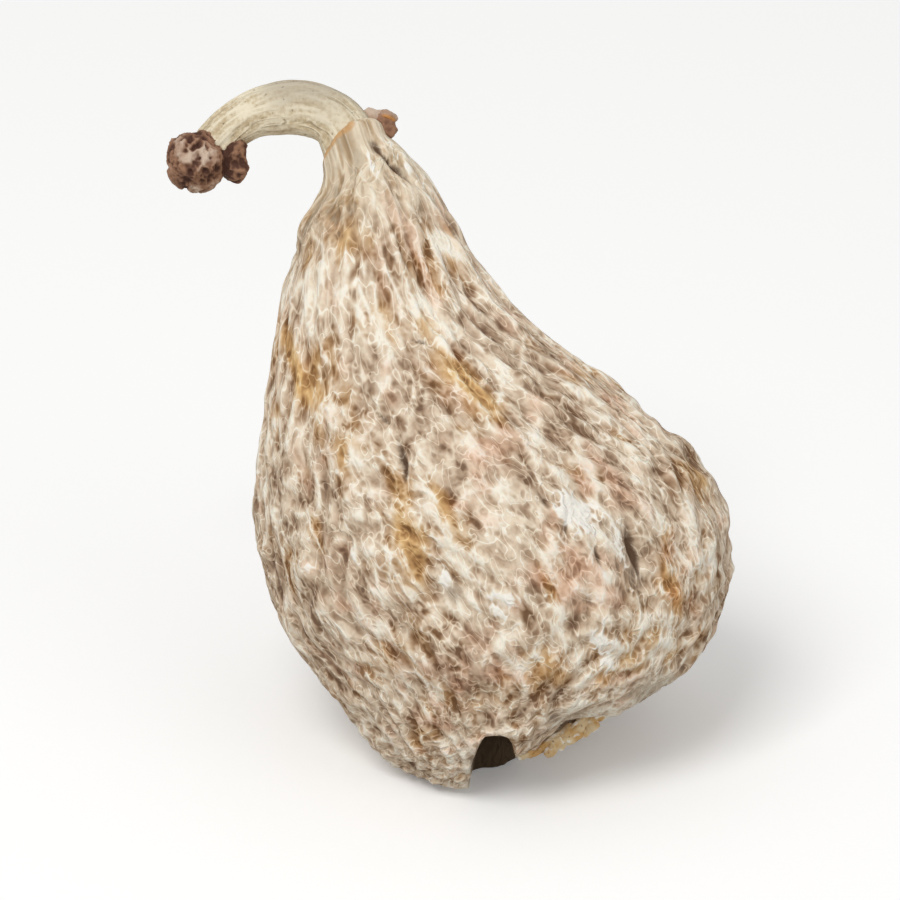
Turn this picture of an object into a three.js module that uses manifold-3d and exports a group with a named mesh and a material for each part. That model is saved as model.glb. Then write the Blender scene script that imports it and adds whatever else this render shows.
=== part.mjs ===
// A dried fig on its hooked stalk, set down on the heel that it was pressed flat on.
//
// The growing frame has its origin in the middle of the fig's blunt end. Its +Z runs up the fig's own
// axis to the neck, +X points away from the side that the stalk hooks over, and +Y is the fig's back.
// The part's frame is the growing frame leaned over by LEAN_LEFT and LEAN_BACK: there the fig rests
// on the plane Z = 0, with the middle of its pressed heel at the origin.
// Lengths are millimetres and angles are radians, unless a name says otherwise.

import * as THREE from "three";
import { mergeVertices } from "three/addons/utils/BufferGeometryUtils.js";
import Module from "manifold-3d";

const wasm = await Module();
wasm.setup();

const { abs, atan2, cos, exp, hypot, max, min, sin, PI } = Math;
const DEGREE = PI / 180;

// ---- Driving dimensions ----

const BODY_LENGTH = 39.4; // from the blunt end to the end of the neck
const BELLY_RADIUS = 14.2; // half of the greatest width
const FLATNESS = 0.9; // depth over width
const STALK_RADIUS = 1.75; // in the middle of the hook
const JOINT_GAP = 0.3; // clearance between one solid and the next

const LEAN_LEFT = 18.65 * DEGREE;
const LEAN_BACK = 26 * DEGREE;
const HEEL_SHIFT = new THREE.Vector3(5.4, -4.1, 1.2); // brings the middle of the heel to the origin
const PRESS_BLEND = 0.5; // half the height over which the pressed heel rounds into the skin

const FRUIT_COLUMNS = 76; // faces round the fruit
const FRUIT_ROWS = 40; // faces from the eye to the neck
const STALK_SIDES = 12;
const STALK_STEPS = 26;

// ---- Form of the fruit ----

// Half outline of the fruit from the floor of the eye's pit, over the belly, to the end of the neck:
// radius in belly radii, height in body lengths.
const OUTLINE = [
  [0.0, 0.046],
  [0.09, 0.035],
  [0.135, 0.004],
  [0.22, -0.01],
  [0.38, 0.002],
  [0.57, 0.027],
  [0.76, 0.08],
  [0.92, 0.18],
  [1.0, 0.315],
  [0.95, 0.422],
  [0.83, 0.536],
  [0.68, 0.633],
  [0.555, 0.72],
  [0.47, 0.793],
  [0.395, 0.865],
  [0.305, 0.93],
  [0.225, 0.978],
  [0.12, 0.997],
  [0.0, 1.0],
];

// Waves round the fruit that leave it slightly faceted: height as a share of the radius there, how many
// crests go round, and where they start. Drift turns a wave as it climbs.
const FACETS = [
  { height: 0.02, count: 2, phase: 0.6, drift: 1.2 },
  { height: 0.018, count: 3, phase: -1.1, drift: 0.9 },
  { height: 0.012, count: 5, phase: 2.2, drift: -1.2 },
];

// Long ribs of shrunken skin from the neck to the eye.
const RIB_COUNT = 15;
const RIB_HEIGHT = 0.3;

// The belly hangs to the right of the axis and the neck to the left of it.
const SWAY = 1.5;
const SWAY_TURNS = 0.9; // swings of the middle over the fruit's length
const SWAY_CROSSING = 0.42; // share of the length at which the middle crosses the axis
const SWAY_OFFSET = -0.35;

// The eye sits off the axis, and its shift dies out up the fruit.
const EYE_SHIFT = new THREE.Vector2(-2.5, -1.9);
const EYE_REACH = 0.05; // share of the length

// The neck's end slopes down to the side of the hook.
const NECK_SLANT = 0.36;
const NECK_SLANT_FROM = 0.84; // shares of the length
const NECK_SLANT_TO = 1.0;

// Soft hollows in the growing frame: where, how wide, and how far the skin is pushed.
const HOLLOWS = [
  { at: [-3.1, -12.3, 11.8], width: 2.6, push: [0.0, 0.7, 0.0] }, // dimple in the belly
  { at: [2.6, -0.5, 0.0], width: 5.4, push: [0.0, 0.0, 1.2] }, // sunken blunt end beside the eye
  { at: [-3.1, -4.6, -0.1], width: 1.3, push: [0.0, 0.6, 1.5] }, // notch in the lip of the eye
  { at: [3.0, 11.5, 17.0], width: 5.5, push: [-0.2, -1.1, 0.0] }, // sunken back
  { at: [-7.0, 3.5, 27.0], width: 4.0, push: [0.7, -0.3, 0.0] }, // shoulder under the hook
].map(({ at, width, push }) => ({
  at: new THREE.Vector3(...at),
  width,
  push: new THREE.Vector3(...push),
}));

/** Rises smoothly from 0 at one value to 1 at another. */
const smoothstep = (x, from, to) => THREE.MathUtils.smoothstep(x, from, to);

/** Radius factor of the facets at an angle round the fruit and a share of its length. */
function facet(turn, share) {
  const wave = (f) => f.height * cos(f.count * turn + f.phase + f.drift * share);
  return FACETS.reduce((sum, f) => sum + wave(f), 1);
}

/** Height of the long ribs, which die out at the eye and at the neck's end. */
function rib(turn, share) {
  const wander = 0.9 * sin(2 * turn + 1.3) + 0.6 * sin(4 * share + turn);
  const inner = min(1, 1.6 * sin(PI * min(1, max(0, 0.96 * share + 0.04))));
  return RIB_HEIGHT * inner * (0.6 - abs(sin((RIB_COUNT * turn + wander) / 2)));
}

/** Sideways shift of the fruit's middle at a share of its length. */
function sway(share) {
  const s = min(1, max(0, share));
  const swing = SWAY * sin(2 * PI * SWAY_TURNS * (SWAY_CROSSING - s));
  const eye = exp(-s / EYE_REACH);
  return new THREE.Vector2(swing * (1 - s ** 12) + SWAY_OFFSET, 0).addScaledVector(EYE_SHIFT, eye);
}

/** Turns a point of the plain revolved outline into a point of the lopsided fruit. */
function shapeFruit(p) {
  const share = p.z / BODY_LENGTH;
  const turn = atan2(p.y, p.x);
  const flat = hypot(p.x, p.y);
  const radius = flat * facet(turn, share) + rib(turn, share) * min(1, flat / 4);
  const middle = sway(share);
  const slant = NECK_SLANT * smoothstep(share, NECK_SLANT_FROM, NECK_SLANT_TO);
  p.set(
    radius * cos(turn) + middle.x,
    radius * sin(turn) * FLATNESS + middle.y,
    p.z + slant * radius * cos(turn),
  );
  for (const { at, width, push } of HOLLOWS)
    p.addScaledVector(push, exp(-p.distanceToSquared(at) / width ** 2));
  return p;
}

// ---- Standing the fig on its heel ----

/** Leans a shape of the growing frame over into the part's frame. */
const STANDING = new THREE.Matrix4()
  .makeRotationFromEuler(new THREE.Euler(-LEAN_BACK, -LEAN_LEFT, 0))
  .setPosition(HEEL_SHIFT);

/** Presses what lies near or under the plane Z = 0 flat on to it, with a rounded edge. */
function pressHeel(p) {
  const raised = max(0, p.z + PRESS_BLEND) ** 2 / (4 * PRESS_BLEND);
  return p.z < PRESS_BLEND ? p.setZ(raised) : p;
}

/** Moves each vertex of a geometry by a function of its place. */
function moveEach(geometry, move) {
  const place = geometry.attributes.position;
  const p = new THREE.Vector3();
  for (let i = 0; i < place.count; i++) {
    move(p.fromBufferAttribute(place, i));
    place.setXYZ(i, p.x, p.y, p.z);
  }
  return geometry;
}

/** Revolves an outline of [radius, height] points about Z, closed at both ends. */
function revolve(outline, rows, columns) {
  const points = outline.map(([r, h]) => new THREE.Vector2(r, h));
  const half = new THREE.SplineCurve(points).getSpacedPoints(rows);
  half[0].x = 0;
  half[rows].x = 0;
  return new THREE.LatheGeometry(half, columns).rotateX(PI / 2);
}

function makeFruit() {
  const outline = OUTLINE.map(([r, h]) => [r * BELLY_RADIUS, h * BODY_LENGTH]);
  const plain = revolve(outline, FRUIT_ROWS, FRUIT_COLUMNS);
  const grown = moveEach(plain, shapeFruit).applyMatrix4(STANDING);
  return moveEach(grown, pressHeel);
}

// ---- Bent pieces: the stalk and the scales of the eye ----

/**
 * A rod bent along a curve, closed by rounded ends.
 * radiusAt gives the radius at a share of the curve's length and an angle round it. The curve bends
 * in the plane at right angles to side, and flat is the rod's thickness along side over its
 * thickness in that plane.
 */
function bendRod(curve, radiusAt, steps, sides, flat = 1, side = new THREE.Vector3(0, 1, 0)) {
  const rod = new THREE.LatheGeometry(roundEnds(steps), sides).rotateX(PI / 2);
  return moveEach(rod, (p) => {
    const share = p.z;
    const turn = atan2(p.y, p.x);
    const radius = hypot(p.x, p.y) * radiusAt(share, turn);
    const along = curve.getTangentAt(share);
    const across = new THREE.Vector3().crossVectors(side, along).normalize();
    curve.getPointAt(share, p);
    p.addScaledVector(across, radius * cos(turn));
    p.addScaledVector(side, radius * sin(turn) * flat);
  });
}

/** A smooth curve through points of the growing frame. */
function pathThrough(points) {
  return new THREE.CatmullRomCurve3(points.map((p) => new THREE.Vector3(...p)));
}

/** Outline of a unit rod from 0 to 1, whose radius rises and falls round at the ends. */
function roundEnds(steps) {
  const END_SHARE = 0.06;
  return Array.from({ length: steps + 1 }, (_, i) => {
    const share = (1 - cos((PI * i) / steps)) / 2;
    const inset = min(1, min(share, 1 - share) / END_SHARE);
    return new THREE.Vector2((1 - (1 - inset) ** 2) ** 0.5, share);
  });
}

// Middle line of the stalk in the growing frame, from the neck over the hook to its cut end.
const STALK_PATH = [
  [0.25, 0.0, BODY_LENGTH - 0.4],
  [0.0, 0.05, 41.2],
  [-0.4, 0.1, 42.6],
  [-1.5, 0.1, 43.75],
  [-3.1, 0.0, 44.4],
  [-5.1, -0.2, 44.65],
  [-6.7, -0.4, 44.35],
  [-8.3, -0.6, 43.5],
];
const STALK_FLARE = 0.18; // extra radius at the root, as a share
const STALK_TAPER = 0.16; // lost radius at the end, as a share
const STALK_RIDGES = 5;
const STALK_RIDGE_HEIGHT = 0.035; // as a share of the radius

function makeStalk() {
  const radiusAt = (share, turn) => {
    const flare = STALK_FLARE * (1 - smoothstep(share, 0, 0.25));
    const taper = STALK_TAPER * smoothstep(share, 0.4, 1);
    const ridge = STALK_RIDGE_HEIGHT * cos(STALK_RIDGES * turn + 2 * share);
    return STALK_RADIUS * (1 + flare - taper + ridge);
  };
  const path = pathThrough(STALK_PATH);
  return bendRod(path, radiusAt, STALK_STEPS, STALK_SIDES, 0.94).applyMatrix4(STANDING);
}

// ---- Knob at the stalk's end ----

// Half outline of the knob along its own axis, from the torn collar over the waist to the ball:
// radius and height.
const KNOB_OUTLINE = [
  [0.0, 0.0],
  [1.2, 0.05],
  [1.65, 0.5],
  [1.5, 1.05],
  [1.15, 1.4],
  [1.45, 1.9],
  [1.8, 2.6],
  [1.85, 3.3],
  [1.55, 4.2],
  [0.8, 4.8],
  [0.0, 4.9],
];
const KNOB_AT = new THREE.Vector3(-6.75, -0.3, 42.35); // middle of the collar's outer face
const KNOB_AXIS = new THREE.Vector3(-0.93, -0.3, 0.19).normalize();
const KNOB_LUMPS = { count: 5, height: 0.07, drift: 1.1 };
const KNOB_ROWS = 18;
const KNOB_COLUMNS = 18;

function makeKnob() {
  const { count, height, drift } = KNOB_LUMPS;
  const up = new THREE.Vector3(0, 0, 1);
  const knob = revolve(KNOB_OUTLINE, KNOB_ROWS, KNOB_COLUMNS);
  moveEach(knob, (p) => {
    const lump = 1 + height * sin(count * atan2(p.y, p.x) + drift * p.z);
    return p.set(p.x * lump, p.y * lump, p.z);
  });
  knob.applyQuaternion(new THREE.Quaternion().setFromUnitVectors(up, KNOB_AXIS));
  return knob.translate(KNOB_AT.x, KNOB_AT.y, KNOB_AT.z).applyMatrix4(STANDING);
}

// ---- Small scales at the neck and at the eye ----

const BRACT_PATH = [
  [1.9, 0.9, 40.4],
  [2.6, 1.2, 41.3],
  [3.3, 1.3, 42.0],
];
const BRACT_RADIUS = 0.8;

function makeBract() {
  const radiusAt = (share, turn) =>
    BRACT_RADIUS * (0.8 + 0.3 * sin(PI * share) + 0.1 * cos(3 * turn));
  return bendRod(pathThrough(BRACT_PATH), radiusAt, 10, 10, 1.3).applyMatrix4(STANDING);
}

// Middle line of the row of dried scales, which lies on the skin along the eye's lip.
const SCALES_PATH = [
  [-1.4, -4.7, -0.6],
  [0.4, -4.6, -0.5],
  [2.1, -3.7, -0.1],
  [3.2, -2.1, 0.3],
  [3.5, -0.3, 0.55],
];
const SCALES_RADIUS = 0.95;
const SCALES_FLATNESS = 0.45;
const SCALE_COUNT = 5;

function makeScales() {
  const radiusAt = (share) =>
    SCALES_RADIUS * (0.75 + 0.35 * abs(sin(SCALE_COUNT * PI * share)));
  const side = new THREE.Vector3(0, 0, 1);
  const row = bendRod(pathThrough(SCALES_PATH), radiusAt, 30, 8, SCALES_FLATNESS, side);
  return row.applyMatrix4(STANDING);
}

// ---- Seating one piece on another ----

/** A geometry with only its places, its shared vertices joined and its empty faces dropped. */
function bareMesh(geometry) {
  const bare = new THREE.BufferGeometry();
  bare.setAttribute("position", geometry.attributes.position.clone());
  bare.setIndex(geometry.index);
  const merged = mergeVertices(bare, 1e-4);
  const corners = merged.index.array;
  const faces = [];
  for (let i = 0; i < corners.length; i += 3) {
    const [a, b, c] = corners.slice(i, i + 3);
    if (a !== b && b !== c && c !== a) faces.push(a, b, c);
  }
  return merged.setIndex(faces);
}

/** The closed solid of a geometry, grown outwards by a clearance. */
function solidOf(geometry, growth = 0) {
  const bare = bareMesh(geometry);
  bare.computeVertexNormals();
  const { position, normal } = bare.attributes;
  const grown = position.array.map((x, i) => x + growth * normal.array[i]);
  const triVerts = new Uint32Array(bare.index.array);
  return new wasm.Manifold(new wasm.Mesh({ numProp: 3, vertProperties: grown, triVerts }));
}

/** A piece trimmed where it sits on its neighbours, with the joint's gap left between them. */
function seat(geometry, neighbours) {
  const cut = neighbours.reduce(
    (solid, neighbour) => solid.subtract(solidOf(neighbour, JOINT_GAP)),
    solidOf(geometry),
  );
  const { vertProperties, triVerts } = cut.getMesh();
  const seated = new THREE.BufferGeometry();
  seated.setAttribute("position", new THREE.BufferAttribute(vertProperties, 3));
  seated.setIndex(new THREE.BufferAttribute(triVerts, 1));
  seated.computeVertexNormals();
  return seated;
}

// ---- Assembly ----

const FINISHES = {
  skin: { color: 0xc9b08f, roughness: 0.85 },
  stalk: { color: 0xcfc1a9, roughness: 0.75 },
  bark: { color: 0x6b4a3a, roughness: 0.8 },
};

/** A named mesh in one of the finishes. */
function piece(name, geometry, finish) {
  const material = new THREE.MeshStandardMaterial({ ...FINISHES[finish], metalness: 0 });
  const mesh = new THREE.Mesh(geometry, material);
  mesh.name = name;
  return mesh;
}

const fruit = makeFruit();
const stalk = makeStalk();
const knob = makeKnob();

const fig = new THREE.Group();
fig.add(
  piece("fruit", fruit, "skin"),
  piece("stalk", seat(stalk, [fruit, knob]), "stalk"),
  piece("stalk_end_knob", knob, "bark"),
  piece("neck_bract", seat(makeBract(), [fruit, stalk]), "bark"),
  piece("eye_scales", makeScales(), "stalk"),
);

export default fig;
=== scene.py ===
"""A dried fig on its hooked stalk, dressed over the solid parts of the same fig.

Shapes are worked out in millimetres in the growing frame: the origin is the middle of the fig's blunt
end, +Z runs up the fig's axis to the neck, +X points away from the side that the stalk hooks over, and
+Y is the fig's back. Standing leans them over into the part's frame, where the fig rests on its pressed
heel at Z = 0, and only then are they turned into metres.
"""

from __future__ import annotations

import logging
import math
from dataclasses import dataclass
from enum import Enum, IntEnum
from itertools import product

import bpy
import numpy as np
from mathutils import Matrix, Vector

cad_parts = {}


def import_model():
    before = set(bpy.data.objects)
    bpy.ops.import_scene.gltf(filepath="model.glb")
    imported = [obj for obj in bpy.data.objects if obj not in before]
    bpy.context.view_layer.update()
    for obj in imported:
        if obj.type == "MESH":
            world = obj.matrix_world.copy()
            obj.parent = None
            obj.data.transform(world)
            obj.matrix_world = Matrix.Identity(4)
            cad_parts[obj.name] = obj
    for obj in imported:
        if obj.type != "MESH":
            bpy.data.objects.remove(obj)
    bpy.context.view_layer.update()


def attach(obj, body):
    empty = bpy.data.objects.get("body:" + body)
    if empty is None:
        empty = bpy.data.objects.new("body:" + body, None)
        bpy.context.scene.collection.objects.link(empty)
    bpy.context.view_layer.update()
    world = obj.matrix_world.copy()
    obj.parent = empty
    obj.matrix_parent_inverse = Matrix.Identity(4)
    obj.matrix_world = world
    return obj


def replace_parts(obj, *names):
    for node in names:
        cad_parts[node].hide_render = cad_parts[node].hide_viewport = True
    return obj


LOG = logging.getLogger("dried_fig")
MM = 0.001
TURN = 2 * math.pi
WHITE = (1, 1, 1, 1)
# How many points a curve's length is measured at.
CURVE_STEPS = 801
# Numbers of the Mix node's sockets: the share and the two colours that go in, and the colour out.
MIX_INPUTS = (0, 6, 7)
MIX_RESULT = 2

Array = np.ndarray
Socket = bpy.types.NodeSocket
Colour = tuple[float, float, float]
Triple = tuple[float, float, float]
Range = tuple[float, float]
Outline = tuple[Range, ...]


class Seed(IntEnum):
    """What starts each random variation, so that it is the same in every run."""

    FOLD_WANDER = 3
    NET_WANDER = 5
    SWELL = 7
    FOLD_DUST = 11
    NOTCH_EDGE = 13
    BLOOM_PATCH = 17
    NET_DUST = 23
    BROKEN_CREST = 29
    SKIN_GRAIN = 31
    STALK_FIBRE = 41
    STALK_BULGE = 43
    KNOB_ROUGH = 61
    KNOB_LUMP = 67
    CRUMB_PLACE = 83
    CRUMB_CRINKLE = 90


# ---- Whole-array helpers ----


def smoothstep(values: Array, low: float, high: float) -> Array:
    """Rises smoothly from 0 at low to 1 at high: 3 t squared minus 2 t cubed of the clipped share t."""
    share = np.clip((values - low) / (high - low), 0, 1)
    return share * share * (3 - 2 * share)


def bump(values: Array, middle: float, width: float) -> Array:
    """A bell around middle: e to the minus square of the distance in widths."""
    return np.exp(-(((values - middle) / width) ** 2))


def unit(vectors: Array) -> Array:
    """The vectors divided by their lengths."""
    return vectors / np.linalg.norm(vectors, axis=-1, keepdims=True)


def turns(columns: int) -> Array:
    """The angles of evenly spaced columns, as one row."""
    return np.linspace(0, TURN, columns, endpoint=False)[None, :]


def middles(rows: int) -> Array:
    """The shares at the middles of evenly spaced rows, as one column."""
    return ((np.arange(rows) + 0.5) / rows)[:, None]


def grid_of(*parts: Array) -> Array:
    """Points by row, column and axis, from the grid, row or column of each axis."""
    return np.stack(np.broadcast_arrays(*parts), axis=-1)


def shifted(rows: Array, by: int) -> Array:
    """The rows moved by one place, with a row of noughts let in.

    Args:
        rows: Values by row.
        by: 1 to move them on, or -1 to move them back.

    Returns:
        The moved rows.
    """
    moved = np.roll(rows, by, axis=0)
    moved[0 if by > 0 else -1] = 0
    return moved


def spline(points: Array, shares: Array) -> Array:
    """A smooth curve through points, by uniform Catmull-Rom segments.

    Each is the cubic whose slope at a point is half the way from the point before to the point after;
    the end points stand in for the missing ones.

    Args:
        points: What the curve goes through, one in each row.
        shares: Places along it, from 0 at the first point to 1 at the last.

    Returns:
        One point for each share.
    """
    last = len(points) - 1
    place = np.clip(shares, 0, 1) * last
    start = np.minimum(np.floor(place).astype(int), last - 1)
    t = (place - start)[:, None]
    before, here, there, after = (points[np.clip(start + step, 0, last)] for step in (-1, 0, 1, 2))
    slope_here = (there - before) / 2
    slope_there = (after - here) / 2
    cubic = 2 * here - 2 * there + slope_here + slope_there
    square = 3 * there - 3 * here - 2 * slope_here - slope_there
    return ((cubic * t + square) * t + slope_here) * t + here


def even_spline(points: Array, shares: Array) -> Array:
    """The same curve, with its places measured by length along it.

    Args:
        points: What the curve goes through, one in each row.
        shares: Shares of the curve's length, from 0 to 1.

    Returns:
        One point for each share.
    """
    fine = np.linspace(0, 1, CURVE_STEPS)
    steps = np.linalg.norm(np.diff(spline(points, fine), axis=0), axis=1)
    length = np.concatenate([[0], np.cumsum(steps)])
    return spline(points, np.interp(shares * length[-1], length, fine))


def resample(grid: Array, rows: Array, columns: Array) -> Array:
    """Reads a grid that closes on itself round the columns at places between its points.

    Args:
        grid: Values by row and column.
        rows: Row places, which are clipped to the grid.
        columns: Column places, which wrap round.

    Returns:
        Values blended linearly from the four nearest points.
    """
    rows = np.clip(rows, 0, grid.shape[0] - 1.001)
    row = rows.astype(int)
    column = np.floor(columns).astype(int)
    down = rows - row
    over = columns - column
    left, right = column % grid.shape[1], (column + 1) % grid.shape[1]
    near, far = (grid[at, left] * (1 - over) + grid[at, right] * over for at in (row, row + 1))
    return near * (1 - down) + far * down


@dataclass(frozen=True)
class SmoothNoise:
    """Random variation that is smooth over a given size and the same in every run for one seed."""

    seed: int
    gain: float = 1.6
    fade: float = 0.55

    def at(self, points: Array, size: float) -> Array:
        """Gradient noise: each corner of a grid of cells has a random direction, and the value is the
        eased blend of each corner's direction dotted with the way from that corner.

        Args:
            points: Places, in the last axis of three.
            size: Size of a cell, in the units of the places.

        Returns:
            Values from about -1 to 1, one for each place.
        """
        rng = np.random.default_rng(self.seed)
        shuffle = rng.permutation(256)
        directions = unit(rng.normal(size=(256, 3)))
        cell = np.floor(points / size).astype(int)
        inside = points / size - cell
        ease = inside**3 * (inside * (inside * 6 - 15) + 10)
        total = np.zeros(points.shape[:-1])
        for corner in product((0, 1), repeat=3):
            key = np.zeros(points.shape[:-1], int)
            for axis, step in enumerate(corner):
                key = shuffle[(key + cell[..., axis] + step) & 255]
            weight = np.prod(np.where(corner, ease, 1 - ease), axis=-1)
            total += weight * np.sum(directions[key] * (inside - corner), axis=-1)
        return total * self.gain

    def layered(self, points: Array, size: float, layers: int) -> Array:
        """The sum of layers of noise, each half the size of the one before and lower by the fade."""
        parts = [SmoothNoise(self.seed + n).at(points, size / 2**n) * self.fade**n for n in range(layers)]
        return np.sum(parts, axis=0)


# ---- Closed surfaces ----


@dataclass
class RingSurface:
    """A closed surface of rings stacked from one pole to the other.

    Attributes:
        rings: Points in the part's frame in millimetres, by row, column and axis. The columns run
            anticlockwise seen from the last row, so that the faces point outwards.
        traits: Named values for each point of the rings, which the finish reads.
    """

    rings: Array
    traits: dict[str, Array]

    def corners(self, grid: Array) -> Array:
        """A grid's values in the mesh's order: pole, rings, pole. A pole has the mean of its ring."""
        first, last = (grid[row].mean(axis=0, keepdims=True) for row in (0, -1))
        return np.concatenate([first, grid.reshape(-1, *grid.shape[2:]), last])

    def faces(self, start: int) -> list[list[int]]:
        """Quads between the rings and a fan of triangles at each pole.

        Args:
            start: Number of the first pole in the mesh.

        Returns:
            The numbers of each face's corners.
        """
        rows, columns = self.rings.shape[:2]
        column = np.arange(columns)
        following = (column + 1) % columns
        base = start + 1 + np.arange(rows - 1)[:, None] * columns
        above = base + columns
        quads = np.stack([base + column, base + following, above + following, above + column], axis=-1)
        low = start + 1
        top = low + (rows - 1) * columns
        first_fan = np.stack([np.full_like(column, start), low + following, low + column], axis=-1)
        last_fan = np.stack([np.full_like(column, top + columns), top + column, top + following], axis=-1)
        return quads.reshape(-1, 4).tolist() + first_fan.tolist() + last_fan.tolist()


def mesh_of(name: str, surfaces: list[RingSurface]) -> bpy.types.Mesh:
    """Closed surfaces as one smooth-shaded mesh in metres, with their traits as point attributes.

    Args:
        name: Name of the mesh.
        surfaces: Surfaces with the same traits.

    Returns:
        The new mesh.
    """
    places = [surface.corners(surface.rings) * MM for surface in surfaces]
    starts = np.cumsum([0] + [len(place) for place in places])
    faces = [face for surface, start in zip(surfaces, starts) for face in surface.faces(start)]
    mesh = bpy.data.meshes.new(name)
    mesh.from_pydata(np.concatenate(places).tolist(), [], faces)
    for trait, values in surfaces[0].traits.items():
        kind, key = ("FLOAT_VECTOR", "vector") if values.ndim == 3 else ("FLOAT", "value")
        data = np.concatenate([surface.corners(surface.traits[trait]) for surface in surfaces])
        mesh.attributes.new(trait, kind, "POINT").data.foreach_set(key, data.astype(np.float32).ravel())
    mesh.shade_smooth()
    mesh.update()
    return mesh


def new_piece(
    name: str, surfaces: list[RingSurface], material: bpy.types.Material
) -> bpy.types.Object:
    """A piece of the fig at the origin, with its finish, riding on the one body.

    Args:
        name: Name of the piece.
        surfaces: What it is made of.
        material: Its finish.

    Returns:
        The new object.
    """
    mesh = mesh_of(name, surfaces)
    mesh.materials.append(material)
    piece = bpy.data.objects.new(name, mesh)
    bpy.context.scene.collection.objects.link(piece)
    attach(piece, "root")
    LOG.info("%s: %d faces", name, len(mesh.polygons))
    return piece


def ring_normals(rings: Array) -> Array:
    """Outward unit normals of a grid of rings: the step round crossed with the step along."""
    around = np.roll(rings, -1, axis=1) - np.roll(rings, 1, axis=1)
    return unit(np.cross(around, np.gradient(rings, axis=0)))


# ---- Form shared by every piece ----


@dataclass(frozen=True)
class Standing:
    """How the fig leans and rests, with angles in degrees and lengths in millimetres."""

    lean_left: float = 18.65
    lean_back: float = 26.0
    heel_shift: Triple = (5.4, -4.1, 1.2)
    press_blend: float = 0.5

    def lean(self, points: Array) -> Array:
        """Turns places about +Y, then about +X, and shifts them on to the heel.

        Args:
            points: Places in the growing frame.

        Returns:
            The same places in the part's frame.
        """
        left = math.radians(self.lean_left)
        back = math.radians(self.lean_back)
        x, y, z = np.moveaxis(points, -1, 0)
        across = x * math.cos(left) - z * math.sin(left)
        along = x * math.sin(left) + z * math.cos(left)
        depth = y * math.cos(back) + along * math.sin(back)
        height = -y * math.sin(back) + along * math.cos(back)
        return np.stack([across, depth, height], axis=-1) + np.array(self.heel_shift)

    def press(self, points: Array) -> Array:
        """Presses what lies near or under Z = 0 flat: the height becomes the square of how far it is
        above minus the blend, over four blends.

        Args:
            points: Places in the part's frame.

        Returns:
            The pressed places.
        """
        blend = self.press_blend
        height = points[..., 2]
        pressed = np.maximum(0, height + blend) ** 2 / (4 * blend)
        flat = points.copy()
        flat[..., 2] = np.where(height < blend, pressed, height)
        return flat


@dataclass(frozen=True)
class Hollow:
    """A soft hollow: where it is, how wide, and how far its middle is pushed."""

    at: Triple
    width: float
    push: Triple


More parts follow.
